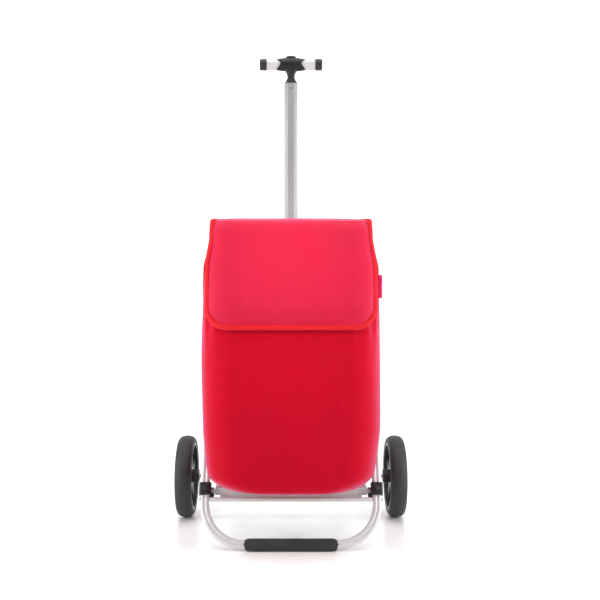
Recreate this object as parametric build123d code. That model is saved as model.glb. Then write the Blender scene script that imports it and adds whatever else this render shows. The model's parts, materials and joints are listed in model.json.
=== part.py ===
"""Two-wheeled shopping trolley: folding aluminium frame, telescopic pole with a T-handle, and a soft bag.

Frame: +Z up, +X to the right of someone facing the bag, +Y towards the wheels and the pole.
The origin is on the floor, in the middle of the overall width and depth. All sizes in millimetres.
"""

import math
import os

from build123d import *

os.makedirs("parts", exist_ok=True)

# Wheels and axle
WHEEL_R = 80.0
WHEEL_Y = 110.0
TYRE_INNER_X = 191.5
TYRE_OUTER_X = 224.5
RIM_R = 66.0
RIM_BARREL_T = 5.0
HUB_R = 13.0
HUB_INNER_X = 183.4
HUB_OUTER_X = 216.0
SPOKES = 5
AXLE_R = 3.5
AXLE_END_X = 220.5
BUSH_R = 6.5
RUNNING_GAP = 0.05
AXLE_TUBE_R = 8.0
AXLE_TUBE_X = 150.0

# Ring frame: one flattened tube of two ridges, bent to a closed ring that leans back from the foot
RIDGE_R = 4.7
RIDGE_OFFSET = 3.3
TUBE_WALL = 1.2
RING_X = 151.0
BEND_R = 71.0
FOOT_Y = -138.0
FOOT_Z = 10.45
HINGE_Y = 84.0
HINGE_Z = 540.0
RING_LENGTH = math.hypot(HINGE_Y - FOOT_Y, HINGE_Z - FOOT_Z)
RING_TILT = math.degrees(math.atan2(HINGE_Z - FOOT_Z, HINGE_Y - FOOT_Y))
BUTT_GAP = 0.6
GRIP_HALF = 83.0
GRIP_SKIN = 3.0
BRACKET_Z = 98.5
ROD_Z = 82.0
ROD_R = 4.0
RIVET_R = 2.0
BARREL_R = 12.0

# Pole
POLE_Y = 110.0
OUTER_W = 36.0
OUTER_D = 22.0
OUTER_WALL = 1.5
OUTER_BOTTOM = 92.0
OUTER_TOP = 575.0
COLLAR_TOP = 589.0
INNER_W = 26.4
INNER_D = 16.0
INNER_FACE_W = 17.0
INNER_STEP = 1.4
INNER_WALL = 1.3
INNER_BOTTOM = 452.0
INNER_TOP = 865.5
SLIDE_GAP = 0.3
PLUG_BOTTOM = 424.0
LOCK_Z = 438.0
LOCK_TRAVEL = 4.0
SLIDE_TRAVEL = 250.0

# T-handle
GRIP_Z = 903.0
CORE_R = 13.6
CORE_HALF = 29.0
CORE_WAIST = 20.7
SLEEVE_R = 10.2
SLEEVE_WALL = 1.2
CAP_R = 11.4
CAP_INNER_X = 48.6
CAP_OUTER_X = 62.6
BUTTON_W = 21.0
BUTTON_D = 13.0
BUTTON_TOP = 920.6
BUTTON_SEAT = 911.0
SPRING_SEAT = 904.5
ROD_BORE_R = 2.4
PUSH_ROD_R = 2.0
SCREW_Z = 853.5

# Shelf
SHELF_X = 134.0
SHELF_FRONT = -100.0
SHELF_BACK = 88.0
NOTCH_X = 30.0
NOTCH_Y = 40.0
SHELF_TOP = 100.3
SHELF_T = 2.5
RAIL_W = 9.0
RAIL_BOTTOM = 87.0
FRONT_RAIL_BOTTOM = 81.5
PIN_Y = -94.0
PIN_Z = 93.5
PIN_R = 4.0
PIN_END_X = 140.4

# Bag: fabric shell with an open mouth under the flap
BAG_HALF = 150.0
BAG_HALF_REAR = 139.0
BAG_HALF_TOP = 137.0
BAG_FRONT = -184.0
BAG_BACK = 48.0
BAG_BOTTOM = 101.0
BAG_SHOULDER = 465.0
BAG_BREAST = 432.0
RIM_FRONT_Z = 562.0
RIM_BACK_Z = 580.0
BAG_WALL = 3.0
BAG_TALL = 640.0
FLAP_GAP = 0.5
FLAP_T = 5.5
FLAP_HALF = 139.0
FLAP_HALF_TOP = 131.0
FLAP_BOTTOM = 381.0
FLAP_CORNER = 38.0
FLAP_REAR = 44.0
BINDING_W = 9.0
HOOK_X = 75.0


def save(name, shape):
    """Write one node's solid or solids to its own file."""
    export_step(shape, f"parts/{name}.step")


def box(low, high):
    """Return the box between two corners."""
    size = [b - a for a, b in zip(low, high)]
    middle = [(a + b) / 2 for a, b in zip(low, high)]
    return Pos(*middle) * Box(*size)


def rod(start, direction, radius, length):
    """Return a round rod that starts at a point and runs along a direction."""
    return extrude(Plane(start, z_dir=direction) * Circle(radius), amount=length)


def both(shape):
    """Return a shape and its mirror image across the middle plane as one group."""
    return Compound(children=[shape, mirror(shape, about=Plane.YZ)])


def pole_section(width, depth, corner):
    """Return a rounded rectangle on the pole's axis, in the floor plane."""
    return Pos(0, POLE_Y) * RectangleRounded(width, depth, corner)


def tower(face, bottom, top):
    """Raise a floor-plane face between two heights."""
    return extrude(Pos(0, 0, bottom) * face, amount=top - bottom)


# ---------------------------------------------------------------- wheels


def tyre():
    """Solid rubber tyre with a rounded tread."""
    middle = (TYRE_INNER_X + TYRE_OUTER_X) / 2
    height = WHEEL_R - RIM_R
    face = Pos(middle, RIM_R + height / 2) * RectangleRounded(TYRE_OUTER_X - TYRE_INNER_X, height, 6.8)
    return revolve(face, axis=Axis.X)


def rim():
    """Plastic rim: barrel, hub and five spokes in one moulding."""
    barrel_x = TYRE_INNER_X + 1.0
    barrel_w = TYRE_OUTER_X - TYRE_INNER_X - 2.0
    barrel = rod((barrel_x, 0, 0), (1, 0, 0), RIM_R, barrel_w)
    barrel -= rod((barrel_x, 0, 0), (1, 0, 0), RIM_R - RIM_BARREL_T, barrel_w)
    moulding = barrel + rod((HUB_INNER_X, 0, 0), (1, 0, 0), HUB_R, HUB_OUTER_X - HUB_INNER_X)
    for spoke in range(SPOKES):
        arm = box((198, -9, HUB_R - 2), (209, 9, RIM_R - RIM_BARREL_T + 2))
        moulding += Rot(360 / SPOKES * spoke, 0, 0) * arm
    return moulding - rod((HUB_INNER_X - 1, 0, 0), (1, 0, 0), BUSH_R, HUB_OUTER_X - HUB_INNER_X + 2)


def bush():
    """Bearing bush pressed into the hub."""
    length = HUB_OUTER_X - HUB_INNER_X
    sleeve = rod((HUB_INNER_X, 0, 0), (1, 0, 0), BUSH_R, length)
    return sleeve - rod((HUB_INNER_X, 0, 0), (1, 0, 0), AXLE_R + RUNNING_GAP, length)


def hub_cap():
    """Snap-on cap over the axle's end."""
    cap = rod((HUB_OUTER_X, 0, 0), (1, 0, 0), HUB_R, TYRE_OUTER_X - HUB_OUTER_X)
    cap = fillet(cap.edges().filter_by(GeomType.CIRCLE).sort_by(Axis.X)[-1], 3)
    return cap - rod((HUB_OUTER_X, 0, 0), (1, 0, 0), HUB_R - 2.5, 6)


def save_wheels():
    """Write both wheels, the left one as the right one's mirror image."""
    makers = {"tyre": tyre, "rim": rim, "wheel_bush": bush, "hub_cap": hub_cap}
    for name, make in makers.items():
        right = Pos(0, WHEEL_Y, WHEEL_R) * make()
        save(f"{name}_right", right)
        save(f"{name}_left", mirror(right, about=Plane.YZ))


def axle():
    """Steel rod right through both wheels."""
    return rod((-AXLE_END_X, WHEEL_Y, WHEEL_R), (1, 0, 0), AXLE_R, 2 * AXLE_END_X)


def axle_disc(inner_x, thickness, radius):
    """Return one washer or push nut on the axle, and its twin at the other end."""
    disc = rod((inner_x, WHEEL_Y, WHEEL_R), (1, 0, 0), radius, thickness)
    return both(disc - rod((inner_x, WHEEL_Y, WHEEL_R), (1, 0, 0), AXLE_R, thickness))


def axle_tube():
    """Aluminium tube that carries the axle between the frame's sides."""
    start = (-AXLE_TUBE_X, WHEEL_Y, WHEEL_R)
    tube = rod(start, (1, 0, 0), AXLE_TUBE_R, 2 * AXLE_TUBE_X)
    return tube - rod(start, (1, 0, 0), AXLE_R, 2 * AXLE_TUBE_X)


# ---------------------------------------------------------------- ring frame


def ridges(radius, hollow_radius=0.0):
    """Return the two-ridge tube section, its long side along x."""
    face = Pos(-RIDGE_OFFSET, 0) * Circle(radius) + Pos(RIDGE_OFFSET, 0) * Circle(radius)
    if hollow_radius:
        face -= Pos(-RIDGE_OFFSET, 0) * Circle(hollow_radius) + Pos(RIDGE_OFFSET, 0) * Circle(hollow_radius)
    return face


def lean(shape):
    """Stand a shape drawn flat in the ring's own plane, foot run at y = 0, up into the trolley."""
    return Pos(0, FOOT_Y, FOOT_Z) * Rot(RING_TILT, 0, 0) * shape


def run_along_x(face, start, end):
    """Run the tube section along X, its long side across the run and in the ring's plane."""
    return extrude(Plane((start, 0, 0), x_dir=(0, 1, 0), z_dir=(1, 0, 0)) * face, amount=end - start)


def ring_frame():
    """The closed ring, with its butt joint in the middle of the foot run."""
    face = ridges(RIDGE_R, RIDGE_R - TUBE_WALL)
    flat_half = RING_X - BEND_R
    upright = Plane((RING_X, BEND_R, 0), x_dir=(1, 0, 0), z_dir=(0, 1, 0))
    foot = run_along_x(face, BUTT_GAP / 2, flat_half)
    side = extrude(upright * face, amount=RING_LENGTH - 2 * BEND_R)
    low_bend = revolve(upright * face, axis=Axis((flat_half, BEND_R, 0), (0, 0, -1)), revolution_arc=90)
    high_bend = mirror(low_bend, about=Plane.XZ.offset(-RING_LENGTH / 2))
    top = Pos(0, RING_LENGTH, 0) * run_along_x(face, 0, flat_half)
    half = foot + low_bend + side + high_bend + top
    ring = half + mirror(half, about=Plane.YZ)
    return lean(ring) - rod((-200, rod_y(), ROD_Z), (1, 0, 0), RIVET_R + RUNNING_GAP, 400)


def rod_y():
    """Return where the ring's plane is at the cross rod's height."""
    return plane_y(ROD_Z)


def plane_y(height):
    """Return how far back the ring's plane is at a height."""
    return FOOT_Y + (height - FOOT_Z) / math.tan(math.radians(RING_TILT))


def tube_joiner():
    """Plug inside the ring tube across its butt joint."""
    return lean(run_along_x(ridges(RIDGE_R - TUBE_WALL - RUNNING_GAP), -30, 30))


def foam_grip():
    """Foam sleeve on the foot run, worn flat where it meets the floor."""
    skin = run_along_x(ridges(RIDGE_R + GRIP_SKIN), -GRIP_HALF, GRIP_HALF)
    skin = fillet(skin.edges().filter_by(GeomType.CIRCLE), 2.4)
    skin -= run_along_x(ridges(RIDGE_R + 0.3), -GRIP_HALF, GRIP_HALF)
    return lean(skin) - box((-200, -250, -30), (200, 0, 0))


def hinge_barrel():
    """Round bearing moulded on the ring's top run."""
    barrel = rod((-30, 0, 0), (1, 0, 0), BARREL_R, 60)
    for side in (-1, 1):
        barrel += rod((side * 30, 0, 0), (side, 0, 0), BARREL_R + 3, 3)
    barrel -= run_along_x(ridges(RIDGE_R + RUNNING_GAP), -40, 40)
    return lean(Pos(0, RING_LENGTH, 0) * barrel)


def bracket():
    """Right-hand moulding clamped on the ring, with the hook that the shelf's corner pin rests in."""
    along = (BRACKET_Z - FOOT_Z) / math.sin(math.radians(RING_TILT))
    sleeve = Pos(RING_X, along, 0) * Box(21, 22, 16)
    sleeve = fillet(sleeve.edges().filter_by(Axis.Y), 4)
    boss = Pos(RING_X, along, 0) * rod((0, 0, 7), (0, 0, 1), 5.5, 3)
    tube = extrude(Plane((RING_X, along - 20, 0), x_dir=(1, 0, 0), z_dir=(0, 1, 0))
                   * ridges(RIDGE_R + RUNNING_GAP), amount=40)
    sleeve = lean(sleeve + boss - tube)
    hook_floor = box((136, PIN_Y - 8, PIN_Z - PIN_R - 5.4), (144, PIN_Y + 9, PIN_Z - PIN_R - 0.4))
    hook_wall = box((136, PIN_Y + PIN_R + 0.4, PIN_Z - PIN_R - 5.4), (141.5, PIN_Y + 9, PIN_Z + 5))
    return sleeve + hook_floor + hook_wall - lean(tube)


def bracket_screws():
    """Screw that closes each bracket on the tube."""
    along = (BRACKET_Z - FOOT_Z) / math.sin(math.radians(RING_TILT))
    head = Pos(RING_X, along, 0) * rod((0, 0, 10), (0, 0, 1), 3.4, 1.8)
    head = fillet(head.edges().filter_by(GeomType.CIRCLE).sort_by(Axis.Z)[-1], 1)
    return both(lean(head))


def cross_rod():
    """Straight rod between the ring's sides, just below the shelf."""
    reach = RING_X - RIDGE_OFFSET - RIDGE_R
    bar = rod((-reach, rod_y(), ROD_Z), (1, 0, 0), ROD_R, 2 * reach)
    return bar - both(rod((reach - 12, rod_y(), ROD_Z), (1, 0, 0), RIVET_R, 13))


def rod_rivets():
    """Rivet through each side of the ring into the cross rod's end."""
    outside = RING_X + RIDGE_OFFSET + RIDGE_R
    inside = RING_X - RIDGE_OFFSET - RIDGE_R - 12
    shank = rod((inside, rod_y(), ROD_Z), (1, 0, 0), RIVET_R, outside - inside + 0.5)
    return both(shank + rod((outside + 0.1, rod_y(), ROD_Z), (1, 0, 0), 3.2, 1.4))


# ---------------------------------------------------------------- shelf


def shelf_plate():
    """Sheet that the bag stands on."""
    plate = box((-SHELF_X, SHELF_FRONT, SHELF_TOP - SHELF_T), (SHELF_X, SHELF_BACK, SHELF_TOP))
    plate -= box((-NOTCH_X, SHELF_BACK - NOTCH_Y, 0), (NOTCH_X, SHELF_BACK + 1, 200))
    return fillet(plate.edges().filter_by(Axis.Z), 8)


def shelf_rail():
    """Right-hand rail under the sheet, with the eye that turns on the axle tube."""
    rail = box((SHELF_X - RAIL_W, SHELF_FRONT + 4, RAIL_BOTTOM), (SHELF_X, 108, SHELF_TOP - SHELF_T))
    start = (SHELF_X - RAIL_W, WHEEL_Y, WHEEL_R)
    eye = rod(start, (1, 0, 0), AXLE_TUBE_R + 6, RAIL_W)
    bore = rod(start, (1, 0, 0), AXLE_TUBE_R + 0.08, RAIL_W)
    return rail + eye - bore


def shelf_front_rail():
    """Rounded rail under the sheet's front edge."""
    reach = SHELF_X - RAIL_W
    rail = box((-reach, SHELF_FRONT + 2, FRONT_RAIL_BOTTOM), (reach, SHELF_FRONT + 12, SHELF_TOP - SHELF_T))
    return fillet(rail.edges().filter_by(Axis.X), 3)


def shelf_pins():
    """Pin at each front corner of the shelf, resting in the bracket's hook."""
    return both(rod((SHELF_X, PIN_Y, PIN_Z), (1, 0, 0), PIN_R, PIN_END_X - SHELF_X))


# ---------------------------------------------------------------- pole


def outer_tube():
    """Oval outer tube of the telescopic pole, with the lock holes in its back."""
    face = pole_section(OUTER_W, OUTER_D, 9)
    hollow = pole_section(OUTER_W - 2 * OUTER_WALL, OUTER_D - 2 * OUTER_WALL, 7.5)
    tube = tower(face - hollow, OUTER_BOTTOM, OUTER_TOP)
    for drop in (0, SLIDE_TRAVEL / 2, SLIDE_TRAVEL):
        tube -= rod((0, POLE_Y, LOCK_Z - drop), (0, 1, 0), 3.6, 20)
    return tube


def stepped_section(grow):
    """Return the inner tube's section: a rounded bar with a flat raised face front and back."""
    body = pole_section(INNER_W + 2 * grow, INNER_D - 2 * INNER_STEP + 2 * grow, 3.5)
    face = pole_section(INNER_FACE_W + 2 * grow, INNER_D + 2 * grow, 1.2)
    return body + face


def inner_tube():
    """Sliding inner tube that carries the handle."""
    tube = tower(stepped_section(0) - stepped_section(-INNER_WALL), INNER_BOTTOM, INNER_TOP)
    return tube - rod((0, POLE_Y, SCREW_Z), (0, -1, 0), 1.6, 12)


def tube_collar():
    """Plastic collar that guides the inner tube at the top of the outer one."""
    skirt = tower(pole_section(OUTER_W + 5, OUTER_D + 5, 11), OUTER_TOP - 10, COLLAR_TOP)
    skirt = fillet(skirt.edges().group_by(Axis.Z)[-1], 2)
    skirt -= tower(pole_section(OUTER_W, OUTER_D, 9), OUTER_TOP - 11, OUTER_TOP)
    return skirt - tower(stepped_section(SLIDE_GAP), OUTER_TOP - 1, COLLAR_TOP + 1)


def guide_plug():
    """Guide at the inner tube's lower end, with the slots of the lock."""
    wide = pole_section(OUTER_W - 2 * OUTER_WALL - 2 * SLIDE_GAP, OUTER_D - 2 * OUTER_WALL - 2 * SLIDE_GAP, 7.2)
    plug = tower(wide, PLUG_BOTTOM, INNER_BOTTOM) + tower(stepped_section(-INNER_WALL), INNER_BOTTOM, 470)
    plug -= box((-1.4, POLE_Y - 8, PLUG_BOTTOM - 1), (1.4, POLE_Y + 8, 452))
    plug -= rod((0, POLE_Y - 8.4, LOCK_Z), (0, 1, 0), 3.3, 20)
    return plug - rod((0, POLE_Y, 441), (0, 0, 1), ROD_BORE_R, 40)


def axle_block():
    """Moulding that joins the pole's foot to the axle tube."""
    block = box((-26, WHEEL_Y - 18, WHEEL_R - 16), (26, WHEEL_Y + 18, 126))
    block = fillet(block.edges().filter_by(Axis.Z), 7)
    block -= tower(pole_section(OUTER_W, OUTER_D, 9), OUTER_BOTTOM, 127)
    return block - rod((-27, WHEEL_Y, WHEEL_R), (1, 0, 0), AXLE_TUBE_R, 54)


def yoke():
    """Rear half of the ring's hinge, clamped round the pole."""
    block = box((-24, HINGE_Y, HINGE_Z - 24), (24, POLE_Y + 15, HINGE_Z + 24))
    block = fillet(block.edges().filter_by(Axis.Z).sort_by(Axis.Y)[-2:], 9)
    block -= tower(pole_section(OUTER_W, OUTER_D, 9), HINGE_Z - 25, HINGE_Z + 25)
    for side in (-1, 1):
        block -= rod((0, HINGE_Y, HINGE_Z + side * 18), (0, 1, 0), 2.2, 10)
    return block - rod((-25, HINGE_Y, HINGE_Z), (1, 0, 0), BARREL_R + RUNNING_GAP, 50)


def yoke_cap():
    """Front half of the ring's hinge."""
    block = box((-24, HINGE_Y - 17, HINGE_Z - 24), (24, HINGE_Y, HINGE_Z + 24))
    block = fillet(block.edges().filter_by(Axis.X).sort_by(Axis.Y)[:2], 8)
    for side in (-1, 1):
        block -= rod((0, HINGE_Y, HINGE_Z + side * 18), (0, -1, 0), 2.2, 20)
        block -= rod((0, HINGE_Y - 8, HINGE_Z + side * 18), (0, -1, 0), 4.2, 20)
    return block - rod((-25, HINGE_Y, HINGE_Z), (1, 0, 0), BARREL_R + RUNNING_GAP, 50)


def yoke_screws():
    """Two screws that close the hinge."""
    screws = []
    for side in (-1, 1):
        shank = rod((0, HINGE_Y + 9, HINGE_Z + side * 18), (0, -1, 0), 2.2, 17)
        screws.append(shank + rod((0, HINGE_Y - 8, HINGE_Z + side * 18), (0, -1, 0), 4.0, 3.5))
    return Compound(children=screws)


# ---------------------------------------------------------------- handle


def handle_core():
    """Moulded centre of the T-handle: waisted barrel, neck, plug and the bar inside the grips."""
    barrel = rod((-CORE_HALF, POLE_Y, GRIP_Z), (1, 0, 0), CORE_R, 2 * CORE_HALF)
    tip = CORE_HALF - CORE_WAIST
    bite_r = (tip ** 2 + 11 ** 2) / (2 * tip)
    for side in (-1, 1):
        barrel -= rod((side * (CORE_WAIST + bite_r), POLE_Y - 20, GRIP_Z), (0, 1, 0), bite_r, 40)
    outline = Polyline((11.2, 893), (-11.2, 893))
    left = ThreePointArc((-11.2, 893), (-7, 878.5), (-13, INNER_TOP))
    right = ThreePointArc((13, INNER_TOP), (7, 878.5), (11.2, 893))
    foot = Line((-13, INNER_TOP), (13, INNER_TOP))
    neck_face = make_face([outline, left, foot, right])
    neck = extrude(Plane((0, POLE_Y + 7.8, 0), x_dir=(1, 0, 0), z_dir=(0, -1, 0)) * neck_face, amount=15.6)
    plug = tower(stepped_section(-INNER_WALL), 840, INNER_TOP + 1)
    bar = rod((-CAP_INNER_X - 4, POLE_Y, GRIP_Z), (1, 0, 0), SLEEVE_R - SLEEVE_WALL, 2 * CAP_INNER_X + 8)
    core = barrel + neck + plug + bar
    button_hole = Pos(0, POLE_Y) * RectangleRounded(BUTTON_W + 0.6, BUTTON_D + 0.6, 6.2)
    core -= tower(button_hole, SPRING_SEAT, GRIP_Z + 20)
    core -= rod((0, POLE_Y, 800), (0, 0, 1), ROD_BORE_R, 110)
    return core - rod((0, POLE_Y - 3, SCREW_Z), (0, -1, 0), 1.6, 10)


def grip_sleeve():
    """Right-hand metal sleeve, cut at its inner end to the core's waisted outline."""
    start = (CORE_WAIST - 1, POLE_Y, GRIP_Z)
    length = CAP_INNER_X - CORE_WAIST + 1
    sleeve = rod(start, (1, 0, 0), SLEEVE_R, length)
    sleeve -= rod(start, (1, 0, 0), SLEEVE_R - SLEEVE_WALL, length)
    barrel = rod((-CORE_HALF, POLE_Y, GRIP_Z), (1, 0, 0), CORE_R, 2 * CORE_HALF)
    tip = CORE_HALF - CORE_WAIST
    bite_r = (tip ** 2 + 11 ** 2) / (2 * tip)
    bite = rod((CORE_WAIST + bite_r, POLE_Y - 20, GRIP_Z), (0, 1, 0), bite_r, 40)
    return sleeve - (barrel - bite)


def end_cap():
    """Right-hand end cap of the grip."""
    cap = rod((CAP_INNER_X, POLE_Y, GRIP_Z), (1, 0, 0), CAP_R, CAP_OUTER_X - CAP_INNER_X)
    cap = fillet(cap.edges().filter_by(GeomType.CIRCLE).sort_by(Axis.X)[-1], 3)
    return cap - rod((CAP_INNER_X, POLE_Y, GRIP_Z), (1, 0, 0), SLEEVE_R - SLEEVE_WALL, 4)


def handle_screw():
    """Screw through the inner tube into the handle's plug."""
    front = POLE_Y - INNER_D / 2
    head = rod((0, front, SCREW_Z), (0, -1, 0), 3.0, 1.2)
    return head + rod((0, front + 4.5, SCREW_Z), (0, -1, 0), 1.6, 4.5)


def release_button():
    """Domed push button in the top of the handle."""
    button = tower(Pos(0, POLE_Y) * RectangleRounded(BUTTON_W, BUTTON_D, 6), BUTTON_SEAT, BUTTON_TOP)
    return fillet(button.edges().group_by(Axis.Z)[-1], 2.5)


def button_spring():
    """Return spring under the button, wound round the push rod."""
    height = BUTTON_SEAT - SPRING_SEAT - 1.0
    coil = Helix(pitch=height / 4, height=height, radius=4.2)
    start = Plane(coil @ 0, z_dir=coil % 0)
    wire = sweep(start * Circle(0.4), path=coil, is_frenet=True)
    return Pos(0, POLE_Y, SPRING_SEAT + 0.5) * wire


def release_rod():
    """Push rod from the button to the lock, ending in a plate with a slanted cam slot."""
    stem = rod((0, POLE_Y, 446), (0, 0, 1), PUSH_ROD_R, BUTTON_SEAT - 446)
    plate = box((-1, POLE_Y - 6, LOCK_Z - 4), (1, POLE_Y + 2, 448))
    reach = LOCK_TRAVEL * math.sqrt(2)
    slot = Pos(0, POLE_Y - LOCK_TRAVEL / 2, LOCK_Z + LOCK_TRAVEL / 2) * Rot(-45, 0, 0) * Box(4, reach, 2.4)
    for step in (0, LOCK_TRAVEL):
        slot += rod((-2, POLE_Y - step, LOCK_Z + step), (1, 0, 0), 1.2, 4)
    return stem + plate - slot


def lock_pin():
    """Lock pin with the cross pin that rides in the push rod's cam slot."""
    pin = rod((0, POLE_Y - 4, LOCK_Z), (0, 1, 0), 3.2, 13.2)
    pin -= box((-1.3, POLE_Y - 5, LOCK_Z - 4), (1.3, POLE_Y + 6.4, LOCK_Z + 4))
    return pin + rod((-2.5, POLE_Y, LOCK_Z), (1, 0, 0), 1.0, 5)


# ---------------------------------------------------------------- bag


def bag_envelope(inset, rim_rise=0.0):
    """Return the bag's full outer shape, moved inwards by inset (outwards when negative).

    Three outlines cross: the front view, the side view and the plan.
    """
    half = BAG_HALF - inset
    rear = BAG_HALF_REAR - inset
    top = BAG_HALF_TOP - inset
    low = BAG_BOTTOM + inset
    front = BAG_FRONT + inset
    back = BAG_BACK - inset
    front_view = FilletPolyline(
        (-half, low), (half, low), (half, BAG_SHOULDER), (top, BAG_TALL), (-top, BAG_TALL), (-half, BAG_SHOULDER),
        radius=[60 - inset, 60 - inset, 80, 1, 1, 80], close=True,
    )
    side_view = FilletPolyline(
        (front, low), (back, low), (back, RIM_BACK_Z + rim_rise - inset),
        (front + 18, RIM_FRONT_Z + rim_rise - inset), (front, BAG_BREAST),
        radius=[25 - inset, 8 - inset, 1, 22 - inset, 60], close=True,
    )
    plan = FilletPolyline(
        (-half, front), (half, front), (half, -122), (rear, -104), (rear, back),
        (-rear, back), (-rear, -104), (-half, -122),
        radius=[35 - inset, 35 - inset, 18, 18, 20 - inset, 20 - inset, 18, 18], close=True,
    )
    front_face = Plane((0, 300, 0), x_dir=(1, 0, 0), z_dir=(0, -1, 0)) * make_face(front_view)
    side_face = Plane((-250, 0, 0), x_dir=(0, 1, 0), z_dir=(1, 0, 0)) * make_face(side_view)
    shape = extrude(front_face, amount=600) & extrude(side_face, amount=500)
    return shape & extrude(make_face(plan), amount=BAG_TALL)


def bag_body():
    """Fabric shell, open at the top."""
    return bag_envelope(0) - bag_envelope(BAG_WALL, rim_rise=40)


def base_board():
    """Stiff board that keeps the bag's bottom flat."""
    low = BAG_BOTTOM + BAG_WALL + 0.3
    board = box((-88, BAG_FRONT + 30, low), (88, BAG_BACK - 14, low + 3))
    return fillet(board.edges().filter_by(Axis.Z), 18)


def side_label():
    """Blank folded fabric tab in the bag's right-hand seam."""
    return box((BAG_HALF - 1.7, -162, 434), (BAG_HALF + 4.5, -160, 474))


def flap_region(inset):
    """Return the block that the flap's outline encloses, moved inwards by inset at its free edges."""
    half = FLAP_HALF - inset
    top = FLAP_HALF_TOP - inset
    low = FLAP_BOTTOM + inset
    outline = FilletPolyline(
        (-half, low), (half, low), (half, BAG_SHOULDER), (top, BAG_TALL), (-top, BAG_TALL), (-half, BAG_SHOULDER),
        radius=[FLAP_CORNER - inset, FLAP_CORNER - inset, 80, 1, 1, 80], close=True,
    )
    face = Plane((0, FLAP_REAR, 0), x_dir=(1, 0, 0), z_dir=(0, -1, 0)) * make_face(outline)
    block = extrude(face, amount=300)
    return block - box((-200, -130, 0), (200, 100, 540))


def flap_sheet():
    """Return the padded sheet that lies over the bag's front and mouth, before it is cut to outline."""
    return bag_envelope(-FLAP_GAP - FLAP_T) - bag_envelope(-FLAP_GAP)


def save_flap():
    """Write the flap's panel and the binding sewn round its free edges."""
    sheet = flap_sheet()
    panel = sheet & flap_region(BINDING_W)
    save("flap_panel", panel)
    save("flap_binding", (sheet & flap_region(0)) - flap_region(BINDING_W))


def bag_hooks():
    """Two hooks on the bag's back that hang over the ring's top run."""
    start = (HOOK_X - 10, HINGE_Y, HINGE_Z)
    arch = rod(start, (1, 0, 0), 13.5, 20) - rod(start, (1, 0, 0), 10, 20)
    arch -= box((HOOK_X - 20, HINGE_Y - 30, HINGE_Z - 30), (HOOK_X + 20, HINGE_Y + 30, HINGE_Z - 3))
    arm = box((HOOK_X - 10, BAG_BACK, HINGE_Z - 3), (HOOK_X + 10, HINGE_Y - 11, HINGE_Z + 2))
    plate = box((HOOK_X - 14, BAG_BACK, HINGE_Z - 40), (HOOK_X + 14, BAG_BACK + 3, HINGE_Z + 12))
    return both(arch + arm + plate)


save_wheels()
save_flap()

parts = {
    "axle": axle(),
    "axle_washers": axle_disc(HUB_INNER_X - 1.4, 1.2, 8),
    "axle_nuts": axle_disc(HUB_OUTER_X + 0.4, 2.4, 7),
    "axle_tube": axle_tube(),
    "axle_block": axle_block(),
    "ring_frame": ring_frame(),
    "tube_joiner": tube_joiner(),
    "foam_grip": foam_grip(),
    "hinge_barrel": hinge_barrel(),
    "bracket_right": bracket(),
    "bracket_left": mirror(bracket(), about=Plane.YZ),
    "bracket_screws": bracket_screws(),
    "cross_rod": cross_rod(),
    "rod_rivets": rod_rivets(),
    "shelf_plate": shelf_plate(),
    "shelf_rail_right": shelf_rail(),
    "shelf_rail_left": mirror(shelf_rail(), about=Plane.YZ),
    "shelf_front_rail": shelf_front_rail(),
    "shelf_pins": shelf_pins(),
    "outer_tube": outer_tube(),
    "tube_collar": tube_collar(),
    "yoke": yoke(),
    "yoke_cap": yoke_cap(),
    "yoke_screws": yoke_screws(),
    "inner_tube": inner_tube(),
    "guide_plug": guide_plug(),
    "handle_core": handle_core(),
    "grip_sleeve_right": grip_sleeve(),
    "grip_sleeve_left": mirror(grip_sleeve(), about=Plane.YZ),
    "end_cap_right": end_cap(),
    "end_cap_left": mirror(end_cap(), about=Plane.YZ),
    "handle_screw": handle_screw(),
    "release_button": release_button(),
    "button_spring": button_spring(),
    "release_rod": release_rod(),
    "lock_pin": lock_pin(),
    "bag_body": bag_body(),
    "base_board": base_board(),
    "side_label": side_label(),
    "bag_hooks": bag_hooks(),
}
for node, shape in parts.items():
    save(node, shape)
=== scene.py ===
"""Looks for the shopping trolley: fabric bag and flap, foam grip, wheels, handle, and every material.

Lengths are in metres, in the row frame, which the CAD shares: X across, +Y from front to back, +Z up,
origin on the floor.
"""

import json
import math
from bisect import bisect_right

import bmesh
import bpy
from mathutils import Matrix, Vector, noise


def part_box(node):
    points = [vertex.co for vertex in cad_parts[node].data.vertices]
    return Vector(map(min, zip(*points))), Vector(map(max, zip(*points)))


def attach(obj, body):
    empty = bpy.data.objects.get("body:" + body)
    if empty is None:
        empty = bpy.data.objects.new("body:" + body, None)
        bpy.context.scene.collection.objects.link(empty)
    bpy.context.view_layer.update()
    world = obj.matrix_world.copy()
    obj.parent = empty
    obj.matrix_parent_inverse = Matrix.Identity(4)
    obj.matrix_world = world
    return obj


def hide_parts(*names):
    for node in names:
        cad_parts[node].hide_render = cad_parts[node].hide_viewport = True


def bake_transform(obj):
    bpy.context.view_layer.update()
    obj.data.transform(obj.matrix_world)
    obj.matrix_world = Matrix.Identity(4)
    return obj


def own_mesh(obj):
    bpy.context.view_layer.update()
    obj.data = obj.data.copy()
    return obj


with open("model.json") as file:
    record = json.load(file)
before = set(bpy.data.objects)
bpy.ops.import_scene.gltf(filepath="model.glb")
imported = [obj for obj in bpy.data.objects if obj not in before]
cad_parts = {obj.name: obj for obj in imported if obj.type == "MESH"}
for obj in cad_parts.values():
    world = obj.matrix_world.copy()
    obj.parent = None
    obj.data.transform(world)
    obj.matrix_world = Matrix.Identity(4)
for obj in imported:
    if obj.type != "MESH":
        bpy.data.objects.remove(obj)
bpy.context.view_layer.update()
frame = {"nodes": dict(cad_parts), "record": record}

MM = 0.001
POLE_Y = 0.11
AXLE_Y = POLE_Y
AXLE_Z = 0.08
HANDLE_Z = 0.903
NECK_LOW = 0.8652
NECK_HIGH = 0.894
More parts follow.
